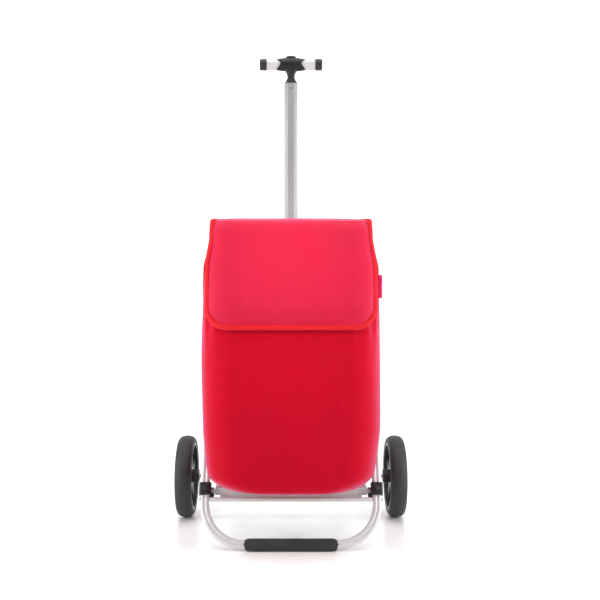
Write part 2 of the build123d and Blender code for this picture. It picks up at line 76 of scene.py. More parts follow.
NECK_WAIST = 0.42
SCENE = bpy.context.scene


# ---------------------------------------------------------------- material helpers


class Paint:
    """A small node-tree writer round one Principled shader."""

    def __init__(self, name, color, roughness, metallic=0.0):
        self.material = bpy.data.materials.new(name)
        self.material.use_nodes = True
        self.material.diffuse_color = (*color, 1.0)
        self.tree = self.material.node_tree
        self.shader = self.tree.nodes["Principled BSDF"]
        self.set("Base Color", (*color, 1.0))
        self.set("Roughness", roughness)
        self.set("Metallic", metallic)
        self.color = color
        self.place = self.node("ShaderNodeTexCoord").outputs["Object"]

    def set(self, socket, value):
        """Set one of the shader's own sockets to a constant."""
        self.shader.inputs[socket].default_value = value

    def node(self, kind, **settings):
        """Add a node with attributes set."""
        node = self.tree.nodes.new(kind)
        for key, value in settings.items():
            setattr(node, key, value)
        return node

    def link(self, source, target):
        """Join two sockets."""
        self.tree.links.new(source, target)

    def math(self, operation, a, b=0.0):
        """Return the result of a math node on sockets or numbers."""
        node = self.node("ShaderNodeMath", operation=operation)
        for socket, value in zip(node.inputs, (a, b)):
            if isinstance(value, (int, float)):
                socket.default_value = value
            else:
                self.link(value, socket)
        return node.outputs[0]

    def stretched(self, scale):
        """Return the object coordinates stretched by a scale along each axis."""
        node = self.node("ShaderNodeMapping")
        node.inputs["Scale"].default_value = scale
        self.link(self.place, node.inputs["Vector"])
        return node.outputs[0]

    def noise(self, scale, detail=4.0, stretch=(1, 1, 1), rough=0.55):
        """Return a noise value from 0 to 1 over the object."""
        node = self.node("ShaderNodeTexNoise")
        node.inputs["Scale"].default_value = scale
        node.inputs["Detail"].default_value = detail
        node.inputs["Roughness"].default_value = rough
        self.link(self.stretched(stretch), node.inputs["Vector"])
        return node.outputs["Fac"]

    def span(self, value, low, high, start=0.3, end=0.7):
        """Map a value from start..end to low..high."""
        node = self.node("ShaderNodeMapRange")
        for key, number in (("From Min", start), ("From Max", end), ("To Min", low), ("To Max", high)):
            node.inputs[key].default_value = number
        self.link(value, node.inputs["Value"])
        return node.outputs[0]

    def shade(self, value, dark, light):
        """Vary the base colour from dark to light times itself with a value from 0 to 1."""
        ramp = self.node("ShaderNodeMix", data_type="RGBA")
        for socket, gain in ((ramp.inputs[6], dark), (ramp.inputs[7], light)):
            socket.default_value = (*[min(1.0, part * gain) for part in self.color], 1.0)
        self.link(value, ramp.inputs[0])
        self.link(ramp.outputs[2], self.shader.inputs["Base Color"])

    def rough(self, value, low, high):
        """Vary the roughness between two values."""
        self.link(self.span(value, low, high), self.shader.inputs["Roughness"])

    def bump(self, height, distance, strength):
        """Raise the surface by a height pattern. Calls add up."""
        node = self.node("ShaderNodeBump")
        node.inputs["Distance"].default_value = distance
        node.inputs["Strength"].default_value = strength
        self.link(height, node.inputs["Height"])
        normal = self.shader.inputs["Normal"]
        if normal.links:
            self.link(normal.links[0].from_socket, node.inputs["Normal"])
        self.link(node.outputs[0], normal)

    def axes(self):
        """Return the three coordinates of the place being painted."""
        split = self.node("ShaderNodeSeparateXYZ")
        self.link(self.place, split.inputs[0])
        return split.outputs

    def weave(self, pitch):
        """Return a plain weave's height, from the crossing of two thread directions."""
        x, y, z = self.axes()
        turn = 2 * math.pi / pitch
        warp = self.math("SINE", self.math("MULTIPLY", self.math("ADD", x, y), turn))
        weft = self.math("SINE", self.math("MULTIPLY", self.math("ADD", z, y), turn))
        return self.math("MULTIPLY", warp, weft)


def woven(name, color, pitch, sheen, gloss=0.05):
    """Woven synthetic cloth with thread relief, uneven yarn and a soft sheen."""
    paint = Paint(name, color, 0.72)
    paint.set("Sheen Weight", sheen)
    paint.set("Sheen Roughness", 0.32)
    paint.set("Sheen Tint", (1.0, 0.43, 0.74, 1.0))
    paint.set("Specular IOR Level", gloss)
    threads = paint.weave(pitch)
    yarn = paint.noise(240, detail=5, stretch=(0.35, 0.35, 3.0), rough=0.6)
    cloud = paint.noise(14, detail=3)
    tone = paint.math("ADD", paint.math("MULTIPLY", yarn, 0.65), paint.math("MULTIPLY", cloud, 0.35))
    tone = paint.math("ADD", tone, paint.math("MULTIPLY", threads, 0.10))
    paint.shade(paint.span(tone, 0.0, 1.0, 0.25, 0.75), 0.86, 1.12)
    paint.rough(cloud, 0.66, 0.80)
    paint.bump(threads, 0.00018, 0.55)
    paint.bump(yarn, 0.00025, 0.35)
    return paint.material


def ribbed_tape(name, color):
    """Grosgrain binding tape: fine cross ribs."""
    paint = Paint(name, color, 0.62)
    paint.set("Sheen Weight", 0.18)
    paint.set("Sheen Tint", (1.0, 0.4, 0.6, 1.0))
    paint.set("Specular IOR Level", 0.15)
    ribs = paint.weave(0.0011)
    fibre = paint.noise(420, detail=4)
    paint.shade(paint.span(fibre, 0.0, 1.0), 0.84, 1.14)
    paint.rough(fibre, 0.55, 0.7)
    paint.bump(ribs, 0.00022, 0.6)
    return paint.material


def drawn_metal(name, color, roughness, grain_axis, metallic=0.88, painted_shade_band=None):
    """Satin anodised metal with a fine grain along one axis and faint smudges.

    The painted shade band, given as (start, end), darkens the colour with painted shade between these
    distances from the middle plane, standing in for the darker rims that light gives the rounded tube.
    """
    stretch = [9.0, 9.0, 9.0]
    stretch["XYZ".index(grain_axis)] = 0.06
    paint = Paint(name, color, roughness, metallic)
    paint.set("Specular Tint", (0.62, 0.62, 0.64, 1.0))
    grain = paint.noise(60, detail=2, stretch=tuple(stretch), rough=0.5)
    smudge = paint.noise(18, detail=3)
    if painted_shade_band:
        # Painted shade: the colour darkens from the middle plane out towards the rims.
        across = paint.math("ABSOLUTE", paint.axes()[0])
        painted_shade_fade = paint.span(across, 1.0, 0.0, *painted_shade_band)
        paint.shade(paint.math("MULTIPLY", painted_shade_fade, paint.span(grain, 0.9, 1.0)), 0.30, 1.02)
    else:
        paint.shade(paint.span(grain, 0.0, 1.0), 0.95, 1.04)
    wear = paint.math("ADD", paint.math("MULTIPLY", grain, 0.5), paint.math("MULTIPLY", smudge, 0.5))
    paint.rough(wear, roughness - 0.03, roughness + 0.04)
    return paint.material


def moulded(name, color, roughness, grain=900.0, coat=0.0):
    """Moulded plastic with a spark-eroded grain and faint scuffs."""
    paint = Paint(name, color, roughness)
    paint.set("Specular IOR Level", 0.5)
    paint.set("Coat Weight", coat)
    paint.set("Coat Roughness", 0.3)
    pits = paint.noise(grain, detail=3, rough=0.6)
    scuff = paint.noise(35, detail=7, rough=0.7)
    paint.shade(paint.span(scuff, 0.0, 1.0), 0.8, 1.35)
    paint.rough(scuff, roughness - 0.08, roughness + 0.1)
    paint.bump(pits, 0.00008, 0.6)
    return paint.material


def knurled(name, color):
    """Moulded grip plastic with a fine diamond pattern."""
    paint = Paint(name, color, 0.42)
    x, y, z = paint.axes()
    depth = paint.math("ADD", y, z)
    turn = 2 * math.pi / 0.0032
    rising = paint.math("SINE", paint.math("MULTIPLY", paint.math("ADD", x, depth), turn))
    falling = paint.math("SINE", paint.math("MULTIPLY", paint.math("SUBTRACT", x, depth), turn))
    diamonds = paint.math("MULTIPLY", rising, falling)
    scuff = paint.noise(60, detail=6)
    paint.shade(paint.span(scuff, 0.0, 1.0), 0.6, 1.1)
    paint.set("Specular IOR Level", 0.3)
    paint.rough(scuff, 0.30, 0.44)
    paint.bump(diamonds, 0.0003, 0.45)
    return paint.material


def rubber(name, color):
    """Tyre rubber: matt, a little dusty, with moulding streaks."""
    paint = Paint(name, color, 0.62)
    paint.set("Specular IOR Level", 0.42)
    dust = paint.noise(24, detail=7, rough=0.68)
    grain = paint.noise(620, detail=4)
    paint.shade(paint.span(dust, 0.0, 1.0, 0.35, 0.75), 0.85, 1.45)
    paint.rough(dust, 0.5, 0.72)
    paint.bump(grain, 0.00012, 0.5)
    paint.bump(dust, 0.0003, 0.25)
    return paint.material


def closed_foam(name, color):
    """Closed-cell foam with a skin of tiny cells."""
    paint = Paint(name, color, 0.8)
    paint.set("Sheen Weight", 0.12)
    paint.set("Specular IOR Level", 0.3)
    cells = paint.node("ShaderNodeTexVoronoi")
    cells.inputs["Scale"].default_value = 900
    paint.link(paint.place, cells.inputs["Vector"])
    blot = paint.noise(60, detail=5)
    paint.shade(paint.span(blot, 0.0, 1.0), 0.8, 1.3)
    paint.rough(blot, 0.7, 0.88)
    paint.bump(cells.outputs["Distance"], 0.00025, 0.6)
    return paint.material


RED = (0.48, 0.0012, 0.0145)
BLACK = (0.011, 0.011, 0.012)
MATERIALS = {
    "red_fabric": woven("bag_cloth", RED, 0.0014, 1.0),
    "red_binding": ribbed_tape("binding_tape", (0.62, 0.004, 0.012)),
    "label_fabric": ribbed_tape("label_tape", (0.62, 0.01, 0.07)),
    "lining": woven("bag_lining", (0.36, 0.008, 0.03), 0.0018, 0.1),
    # Painted light: a lighter, pinker copy of the bag cloth, standing in for the brighter light and pink
    # sheen on the flap.
    "flap_cloth_painted_light": woven("flap_cloth_painted_light", (0.515, 0.004, 0.033), 0.0014, 1.0, gloss=0.2),
    "frame_aluminium": drawn_metal("frame_metal", (0.63, 0.63, 0.64), 0.48, "Z", 0.2),
    "pole_aluminium": drawn_metal("pole_metal", (0.76, 0.76, 0.77), 0.30, "Z"),
    # The upper pole's colour carries painted shade at its rims.
    "pole_painted_edge_shade": drawn_metal(
        "pole_metal_painted_edge_shade", (0.76, 0.76, 0.77), 0.30, "Z", painted_shade_band=(8.8 * MM, 12.7 * MM)
    ),
    "grip_metal": drawn_metal("grip_metal", (0.55, 0.55, 0.56), 0.5, "X", 0.2),
    "steel": drawn_metal("zinc_steel", (0.50, 0.50, 0.51), 0.34, "X"),
    "black_plastic": moulded("black_moulding", BLACK, 0.46),
    "black_steel": moulded("blackened_steel", (0.03, 0.03, 0.032), 0.4),
    "rim_plastic": moulded("rim_moulding", (0.014, 0.014, 0.016), 0.34, grain=500.0, coat=0.15),
    "bearing_plastic": moulded("nylon_bearing", (0.10, 0.10, 0.10), 0.5),
    "tyre": rubber("tyre_rubber", (0.021, 0.022, 0.024)),
    "foam": closed_foam("grip_foam", (0.027, 0.028, 0.030)),
    "board": moulded("board_sheet", (0.035, 0.035, 0.04), 0.6),
    "knurled": knurled("knurled_grip", BLACK),
    "thread": ribbed_tape("sewing_thread", (0.66, 0.006, 0.022)),
}


def paint_cad_nodes():
    """Give every CAD node its slot's material, or one of its own."""
    special = {
        "grip_sleeve_left": "grip_metal",
        "grip_sleeve_right": "grip_metal",
        "inner_tube": "pole_painted_edge_shade",
    }
    for row in frame["record"]["subparts"]:
        node = frame["nodes"][row["node"]]
        material = MATERIALS[special.get(row["node"], row["material_slot"])]
        for slot in node.material_slots:
            slot.material = material


# ---------------------------------------------------------------- mesh helpers


def new_object(name, bm, material):
    """Turn a bmesh into a named object in the scene."""
    bmesh.ops.recalc_face_normals(bm, faces=bm.faces)
    mesh = bpy.data.meshes.new(name)
    bm.to_mesh(mesh)
    bm.free()
    mesh.materials.append(material)
    for face in mesh.polygons:
        face.use_smooth = True
    piece = bpy.data.objects.new(name, mesh)
    SCENE.collection.objects.link(piece)
    return piece


def settle(piece):
    """Apply a piece's modifiers to its mesh."""
    bpy.context.view_layer.update()
    shown = piece.evaluated_get(bpy.context.evaluated_depsgraph_get())
    mesh = bpy.data.meshes.new_from_object(shown)
    piece.modifiers.clear()
    piece.data = mesh


def declare(piece, body, slot, *nodes):
    """Say which body a piece rides on and which CAD nodes it stands for. The slot argument is not used.

    The flap's pieces are attached to no body: their placement is baked into their meshes.
    """
    if body == "flap":
        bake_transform(piece)
    else:
        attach(piece, body)
    if nodes:
        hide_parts(*nodes)


def gather(piece):
    """Give one of the bag's sewn pieces its own copy of its mesh."""
    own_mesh(piece)


def lerp(a, b, t):
    """Return the value a share t of the way from a to b."""
    return a + (b - a) * t


def ease(t):
    """Return a smooth step from 0 to 1."""
    t = min(1.0, max(0.0, t))
    return t * t * (3 - 2 * t)


def rounded_outline(corners, radii, count):
    """Return count points evenly spaced round a closed outline whose corners are rounded to radii."""
    path = []
    total = len(corners)
    for index, (corner, radius) in enumerate(zip(corners, radii)):
        here = Vector(corner)
        back = (Vector(corners[index - 1]) - here).normalized()
        ahead = (Vector(corners[(index + 1) % total]) - here).normalized()
        half_angle = math.acos(max(-1.0, min(1.0, back.dot(ahead)))) / 2
        reach = radius / math.tan(half_angle)
        centre = here + (back + ahead).normalized() * radius / math.sin(half_angle)
        start = here + back * reach - centre
        sweep = math.pi - 2 * half_angle
        turn = 1.0 if back.cross(ahead) < 0 else -1.0
        for step in range(9):
            path.append(centre + Matrix.Rotation(turn * sweep * step / 8, 2) @ start)
    lengths = [(path[(i + 1) % len(path)] - path[i]).length for i in range(len(path))]
    spacing = sum(lengths) / count
    points = []
    walked = 0.0
    for index, length in enumerate(lengths):
        while len(points) < count and len(points) * spacing <= walked + length:
            share = (len(points) * spacing - walked) / max(length, 1e-9)
            points.append(path[index].lerp(path[(index + 1) % len(path)], share))
        walked += length
    return points


def grid_faces(bm, rows, wrap):
    """Fill the quads between rows of vertices, closing each row on itself when wrap is true."""
    for low, high in zip(rows, rows[1:]):
        last = len(low) if wrap else len(low) - 1
        for i in range(last):
            j = (i + 1) % len(low)
            bm.faces.new((low[i], low[j], high[j], high[i]))


def loft(name, bm, rows, material):
    """Close rings of vertices into a solid with a cap at each end, as a named object."""
    grid_faces(bm, rows, wrap=True)
    bm.faces.new(rows[0])
    bm.faces.new(rows[-1])
    return new_object(name, bm, material)


def round_angles(count):
    """Return count angles evenly spaced round a circle."""
    return [2 * math.pi * k / count for k in range(count)]


def signed_power(value, power):
    """Return a value's size raised to a power, with its sign kept."""
    return math.copysign(abs(value) ** power, value)


# ---------------------------------------------------------------- the bag's shape


HALF = 153.5 * MM
HALF_REAR = 139 * MM
HALF_TOP = 135 * MM
FRONT = -184 * MM
BACK = 48 * MM
BOTTOM = 101 * MM
SHOULDER = 465 * MM
BREAST = 432 * MM
RIM_FRONT = 562 * MM
RIM_BACK = 580 * MM
CORNER = 60 * MM
CORNER_TOP = 34 * MM
CORNER_TIGHTENS = 0.44
LIP_LEAN = 18 * MM
WALL = 2.2 * MM
SIDE_END = -0.106
REAR_START = -0.082
CORNER_TURN = 24 * MM
BACK_CORNER = 26 * MM
FACE_JOIN = 4 * MM
FLOOR_MIDDLE = -0.06
OUTLINE_POINTS = 200
HELD_ABOVE = 0.54
CLOTH_FRAMES = 20
WELT_Y = -0.112
WELT_LOW = 0.135
WELT_HIGH = 0.512
WELT_RISES = 0.47


def corner_drop(height, tall, deep, power):
    """Return how far the bag pulls in at a height near its rounded bottom edge."""
    share = max(0.0, 1 - (height - BOTTOM) / tall)
    return deep * (1 - (1 - min(1.0, share) ** power) ** (1 / power))


def bag_half(height):
    """Return the bag's half width at a height: rounded below, full in the middle, drawn in above."""
    narrowing = (HALF - HALF_TOP) * ease((height - SHOULDER) / (RIM_FRONT - SHOULDER))
    taper = 0.1 * max(0.0, 0.207 - height)
    return HALF - narrowing - taper - corner_drop(height, 0.032, 0.056, 1.7)


def bag_front(height):
    """Return how far forward the bag's front is at a height."""
    lean = LIP_LEAN * max(0.0, (height - BREAST) / (RIM_FRONT - BREAST)) ** 1.3
    belly = 3 * MM * math.sin(math.pi * min(1.0, max(0.0, (height - BOTTOM) / (BREAST - BOTTOM))))
    return FRONT + lean - belly + corner_drop(height, 0.05, 0.034, 2.4)


def corner_radius(height):
    """Return the plan radius of the front corners: large where the bag is full, tighter above."""
    return lerp(CORNER, CORNER_TOP, ease((height - CORNER_TIGHTENS) / (RIM_FRONT - CORNER_TIGHTENS)))


def front_bulge(x, half):
    """Return how far the stuffed front stands out at x."""
    return 5 * MM * max(0.0, 1 - (x / half) ** 2)


def bag_outline(height, count):
    """Return the bag's plan outline at a height, as points from the middle of the front."""
    half = bag_half(height)
    rear = min(half, HALF_REAR)
    front = bag_front(height)
    back = BACK - corner_drop(height, 0.03, 0.012, 2.2)
    corner = corner_radius(height)
    right = [
        (half, front, corner),
        (half, SIDE_END, CORNER_TURN),
        (rear, REAR_START, CORNER_TURN),
        (rear, back, BACK_CORNER),
    ]
    left = [(-x, y, radius) for x, y, radius in reversed(right)]
    rounded = [(0, front, FACE_JOIN), *right, (0, back, FACE_JOIN), *left]
    corners = [(x, y) for x, y, _ in rounded]
    radii = [radius for _, _, radius in rounded]
    outline = rounded_outline(corners, radii, count)
    for point in outline:
        if point.y < -0.1:
            point.y -= front_bulge(point.x, half)
    return outline


def bag_heights():
    """Return the heights of the bag's rows, close together round its bottom edge."""
    low = [BOTTOM + 0.09 * (step / 14) ** 2.2 for step in range(15)]
    return low + [lerp(low[-1], RIM_FRONT, step / 46) for step in range(1, 47)]


def rim_slope(height, y):
    """Return how much higher a row stands at its back than at its front, near the sloping rim."""
    near_rim = ease((height - BREAST) / (RIM_FRONT - BREAST))
    return (RIM_BACK - RIM_FRONT) * near_rim * (y - FRONT) / (BACK - FRONT)


def cloth_pass(piece, pinned, pressure, gravity, cap, bend):
    """Run a short cloth simulation on a piece, keep it near where it was, and leave only its mesh."""
    start = [v.co.copy() for v in piece.data.vertices]
    group = piece.vertex_groups.new(name="pin")
    for index in range(len(start)):
        group.add([index], pinned(start[index]), "REPLACE")
    cloth = piece.modifiers.new("cloth", "CLOTH")
    cloth.settings.quality = 6
    cloth.settings.mass = 0.15
    cloth.settings.tension_stiffness = 25
    cloth.settings.compression_stiffness = 25
    cloth.settings.shear_stiffness = 8
    cloth.settings.bending_stiffness = bend
    cloth.settings.vertex_group_mass = "pin"
    cloth.settings.use_pressure = True
    cloth.settings.uniform_pressure_force = pressure
    cloth.settings.effector_weights.gravity = gravity
    cloth.collision_settings.use_collision = False
    cloth.point_cache.frame_start = 1
    cloth.point_cache.frame_end = CLOTH_FRAMES
    for step in range(1, CLOTH_FRAMES + 1):
        SCENE.frame_set(step)
    shown = piece.evaluated_get(bpy.context.evaluated_depsgraph_get())
    moved = [v.co.copy() for v in shown.to_mesh().vertices]
    piece.modifiers.clear()
    piece.vertex_groups.clear()
    for vertex, before, after in zip(piece.data.vertices, start, moved):
        shift = after - before
        if shift.length > cap:
            shift = shift.normalized() * cap
        vertex.co = before + shift
    SCENE.frame_set(1)


def wrinkle(point):
    """Return how far the stuffed cloth stands out or falls in at a point, in metres."""
    broad = noise.noise(point * 7.0) * 1.8
    fine = noise.noise(Vector((point.x * 26, point.y * 26, point.z * 9))) * 0.55
    return (broad + fine) * MM


def bag_shell():
    """The bag: one lofted fabric shell, rounded at the bottom, open at the top."""
    bm = bmesh.new()
    rows = []
    first = bag_outline(BOTTOM, OUTLINE_POINTS)
    for share in (0.78, 0.88, 0.95):
        rows.append([
            bm.verts.new((p.x * share, lerp(FLOOR_MIDDLE, p.y, share), BOTTOM))
            for p in first
        ])
    for height in bag_heights():
        row = bag_outline(height, OUTLINE_POINTS)
        rows.append([bm.verts.new((p.x, p.y, height + rim_slope(height, p.y))) for p in row])
    grid_faces(bm, rows, wrap=True)
    floor = rows[0]
    half = OUTLINE_POINTS // 2
    bm.faces.new((floor[0], floor[1], floor[-1]))
    bm.faces.new((floor[half - 1], floor[half], floor[half + 1]))
    for k in range(1, half - 1):
        bm.faces.new((floor[k], floor[k + 1], floor[-k - 1], floor[-k]))
    shell = new_object("bag_shell", bm, MATERIALS["red_fabric"])
    shell.data.materials.append(MATERIALS["lining"])

    def pinned(point):
        return 1.0 if point.z < BOTTOM + 4 * MM or point.z > HELD_ABOVE else 0.0

    cloth_pass(shell, pinned, pressure=1.2, gravity=0.35, cap=4 * MM, bend=0.6)
    for vertex in shell.data.vertices:
        fade = ease((vertex.co.z - BOTTOM) / 0.03) * ease((0.56 - vertex.co.z) / 0.03)
        vertex.co += vertex.normal * wrinkle(vertex.co) * fade
    thick = shell.modifiers.new("wall", "SOLIDIFY")
    thick.thickness = WALL
    thick.offset = -1
    thick.material_offset = 1
    thick.material_offset_rim = 0
    smooth = shell.modifiers.new("smooth", "SUBSURF")
    smooth.levels = smooth.render_levels = 1
    settle(shell)
    declare(shell, "chassis", "red_fabric", "bag_body")
    gather(shell)


# ---------------------------------------------------------------- the flap


FLAP_HALF = 144 * MM
FLAP_HALF_TOP = 137 * MM
FLAP_WIDENS = 0.228
FLAP_WIDENING = 0.055
FLAP_LOW = 381 * MM
FLAP_CORNER = 38 * MM
FLAP_LIFT = 1.4 * MM
FLAP_WRAP = 0.62
FLAP_START = 0.0445
FOLD_RADIUS = 24 * MM
PANEL_INSET = 2 * MM
PANEL_THIN = 2.4 * MM
PANEL_FULL = 9.0 * MM
PANEL_MARGIN = 6.5 * MM
PANEL_COLUMNS = 56
PUFF_START = 0.2
PUFF_LENGTH = 0.14
LOOSE_START = 0.235
LOOSE_END = 22 * MM
LOOSE_MARGIN = 4
TAPE_HALF = 4.6 * MM
TAPE_T = 4.4 * MM
STITCH = 0.0030
STITCH_GAP = 0.0014
THREAD_RADIUS = 0.00042


def flap_profile():
    """Return the flap's side profile as (point, normal) samples, from the hinge to the hem."""
    hinge = Vector((FLAP_START, RIM_BACK + 1 * MM))
    edge = Vector((FRONT + LIP_LEAN, RIM_FRONT + 1 * MM))
    path = [hinge] + [hinge.lerp(edge, step / 16) for step in range(1, 15)]
    top_way = (edge - hinge).normalized()
    front_way = Vector((bag_front(0.5) - bag_front(0.55), -0.05)).normalized()
    bend = math.acos(top_way.dot(front_way))
    reach = FOLD_RADIUS * math.tan(bend / 2)
    start = edge - top_way * reach
    inward = Vector((-top_way.y, top_way.x))
    path = [p for p in path if (p - edge).length > reach * 1.05]
    for step in range(9):
        angle = bend * step / 8
        onward = top_way * FOLD_RADIUS * math.sin(angle)
        path.append(start + onward + inward * FOLD_RADIUS * (1 - math.cos(angle)))
    z = path[-1].y
    while z > FLAP_LOW:
        z -= 5 * MM
        path.append(Vector((bag_front(z), max(z, FLAP_LOW))))
    samples = []
    for i, point in enumerate(path):
        way = (path[min(i + 1, len(path) - 1)] - path[max(i - 1, 0)]).normalized()
        samples.append((point, Vector((way.y, -way.x))))
    return samples


def flap_surface():
    """Return the flap's length, and a function from (along, x) to the place and normal beneath."""
    samples = flap_profile()
    lengths = [0.0]
    for (a, _), (b, _) in zip(samples, samples[1:]):
        lengths.append(lengths[-1] + (b - a).length)
    whole = lengths[-1]

    def at(along, x):
        along = min(max(along, 0.0), whole)
        i = min(bisect_right(lengths, along) - 1, len(lengths) - 2)
        share = (along - lengths[i]) / (lengths[i + 1] - lengths[i])
        point = samples[i][0].lerp(samples[i + 1][0], share)
        out = samples[i][1].lerp(samples[i + 1][1], share).normalized()
        frontness = ease(-out.x)
        corner = corner_radius(point.y)
        straight = bag_half(min(point.y, RIM_FRONT)) - corner
        over = min(max(0.0, abs(x) - straight), 0.9 * corner)
        follow = FLAP_WRAP * frontness
        drop = (corner - math.sqrt(corner ** 2 - over ** 2)) * follow - front_bulge(x, HALF) * frontness
        tilt = math.asin(over / corner) * follow
        sideways = math.copysign(math.sin(tilt), x)
        normal = Vector((sideways, out.x * math.cos(tilt), out.y * math.cos(tilt)))
        place = Vector((x, point.x + drop * -out.x, point.y + drop * -out.y * frontness))
        return place, normal.normalized()

    return at, whole


def flap_half(along, whole):
    """Return the flap's half width at a length along it: narrower on top, rounded lower corners."""
    side = lerp(FLAP_HALF_TOP, FLAP_HALF, ease((along - FLAP_WIDENS) / FLAP_WIDENING))
    left = whole - along
    if left >= FLAP_CORNER:
        return side
    return side - FLAP_CORNER + math.sqrt(max(0.0, FLAP_CORNER ** 2 - (FLAP_CORNER - left) ** 2))


def flap_panel(at, whole):
    """The padded panel, thick in the middle and flat at the edges, puffed by a cloth simulation."""
    bm = bmesh.new()
    columns = PANEL_COLUMNS
    stations = [whole * i / 84 for i in range(79)]
    stations += [whole - FLAP_CORNER * (1 - math.sin(math.pi / 2 * k / 12)) * 0.17 for k in range(1, 13)]
    stations = sorted(set(round(s, 6) for s in stations))
    sheets = []
    for upper in (False, True):
        rows = []
        for along in stations:
            half = flap_half(along, whole) - PANEL_INSET
            fullness = min(1.0, max(0.0, (along - PUFF_START) / PUFF_LENGTH))
            puff = lerp(PANEL_THIN, PANEL_FULL, fullness)
            row = []
            for column in range(columns + 1):
                share = math.sin(math.pi / 2 * (2 * column / columns - 1))
                place, normal = at(along, share * half)
                edge = min(half - abs(share * half), whole - along, along + 0.004)
                pad = PANEL_THIN + puff * (1 - math.exp(-max(edge - PANEL_MARGIN, 0.0) / 0.013))
                lift = FLAP_LIFT + (pad if upper else 0.0)
                row.append(bm.verts.new(place + normal * lift))
            rows.append(row)
        sheets.append(rows)
        grid_faces(bm, rows, wrap=False)
    under, over = sheets
    for i in range(len(stations) - 1):
        for side in (0, -1):
            bm.faces.new((under[i][side], under[i + 1][side], over[i + 1][side], over[i][side]))
    for end in (0, -1):
        for j in range(columns):
            bm.faces.new((under[end][j], under[end][j + 1], over[end][j + 1], over[end][j]))
    # The panel takes the flap's copy of the cloth, painted lighter than the bag to stand in for the
    # light on the flap.
    panel = new_object("flap_cover", bm, MATERIALS["flap_cloth_painted_light"])
    keep = {}
    total = len(stations) * (columns + 1)
    for k, vertex in enumerate(panel.data.vertices):
        row, column = divmod(k % total, columns + 1)
        front = LOOSE_START < stations[row] < whole - LOOSE_END
        loose = k >= total and LOOSE_MARGIN < column < columns - LOOSE_MARGIN and front
        keep[tuple(round(c, 7) for c in vertex.co)] = 0.0 if loose else 1.0

    def pinned(point):
        return keep[tuple(round(c, 7) for c in point)]

    cloth_pass(panel, pinned, pressure=3.0, gravity=0.4, cap=3.5 * MM, bend=0.4)
    for k, vertex in enumerate(panel.data.vertices):
        if k >= total:
            vertex.co += vertex.normal * wrinkle(vertex.co * 1.3) * 0.6
    smooth = panel.modifiers.new("smooth", "SUBSURF")
    smooth.levels = smooth.render_levels = 1
    settle(panel)
    declare(panel, "flap", "red_fabric", "flap_panel")


def flap_edge(at, whole, inset):
    """Return (place, normal) samples round the flap's free edges, moved inwards by inset."""
    left = []
    for step in range(73):
        along = (whole - FLAP_CORNER) * step / 72
        left.append((along, flap_half(along, whole) - inset))
    radius = FLAP_CORNER - inset
    for step in range(1, 15):
        angle = math.pi / 2 * step / 14
        along = whole - inset - radius * (1 - math.sin(angle))
        left.append((along, FLAP_HALF - FLAP_CORNER + radius * math.cos(angle)))
    reach = left[-1][1]
    middle = [(whole - inset, reach * (1 - 2 * k / 40)) for k in range(1, 40)]
    path = left + middle + [(a, -x) for a, x in reversed(left)]
    return [at(a, x) for a, x in path]


def tape(name, samples, half_width, thickness, lift, material):
    """A folded binding tape along a path of (place, normal) samples."""
    bm = bmesh.new()
    rows = []
    for i, (place, normal) in enumerate(samples):
        way = samples[min(i + 1, len(samples) - 1)][0] - samples[max(i - 1, 0)][0]
        across = normal.cross(way.normalized()).normalized()
        ripple = 1 + 0.05 * math.sin(i * 1.7) * math.sin(i * 0.37)
        row = []
        for angle in round_angles(12):
            wide = signed_power(math.cos(angle), 0.6) * half_width
            high = signed_power(math.sin(angle), 0.8) * thickness / 2 * ripple
            row.append(bm.verts.new(place + across * wide + normal * (lift + thickness / 2 + high)))
        rows.append(row)
    return loft(name, bm, rows, material)


def stitches(name, samples, lift):
    """A row of raised thread stitches along a path of (place, normal) samples."""
    bm = bmesh.new()
    travelled = 0.0
    next_start = STITCH_GAP
    for (a, normal), (b, _) in zip(samples, samples[1:]):
        span = (b - a).length
        way = (b - a).normalized()
        while next_start < travelled + span:
            start = a + way * (next_start - travelled) + normal * lift
            across = normal.cross(way).normalized()
            add_stitch(bm, start, way * STITCH, across * THREAD_RADIUS, normal * THREAD_RADIUS)
            next_start += STITCH + STITCH_GAP
        travelled += span
    return new_object(name, bm, MATERIALS["thread"])


def add_stitch(bm, start, way, across, up):
    """Add one stitch: a six-sided spindle, full in the middle and pointed at both ends."""
    rings = []
    for share, girth in ((0.12, 0.6), (0.5, 1.0), (0.88, 0.6)):
        middle = start + way * share
        ring = []
        for k in range(6):
            angle = math.pi * k / 3
            ring.append(bm.verts.new(middle + (across * math.cos(angle) + up * math.sin(angle)) * girth))
        rings.append(ring)
    grid_faces(bm, rows=rings, wrap=True)
    for ring, tip in ((rings[0], start), (rings[-1], start + way)):
        point = bm.verts.new(tip)
        for k in range(6):
            bm.faces.new((ring[k], ring[(k + 1) % 6], point))


def flap():
    """The flap's panel, its binding and its stitching."""
    at, whole = flap_surface()
    flap_panel(at, whole)
    edge = flap_edge(at, whole, TAPE_HALF)
    binding = tape("flap_edge_tape", edge, TAPE_HALF, TAPE_T, FLAP_LIFT, MATERIALS["red_binding"])
    declare(binding, "flap", "red_binding", "flap_binding")
    line = flap_edge(at, whole, 2 * TAPE_HALF - 1.6 * MM)
    thread = stitches("flap_edge_stitching", line, FLAP_LIFT + TAPE_T - 0.1 * MM)
    declare(thread, "flap", "red_binding")


# ---------------------------------------------------------------- the bag's trim


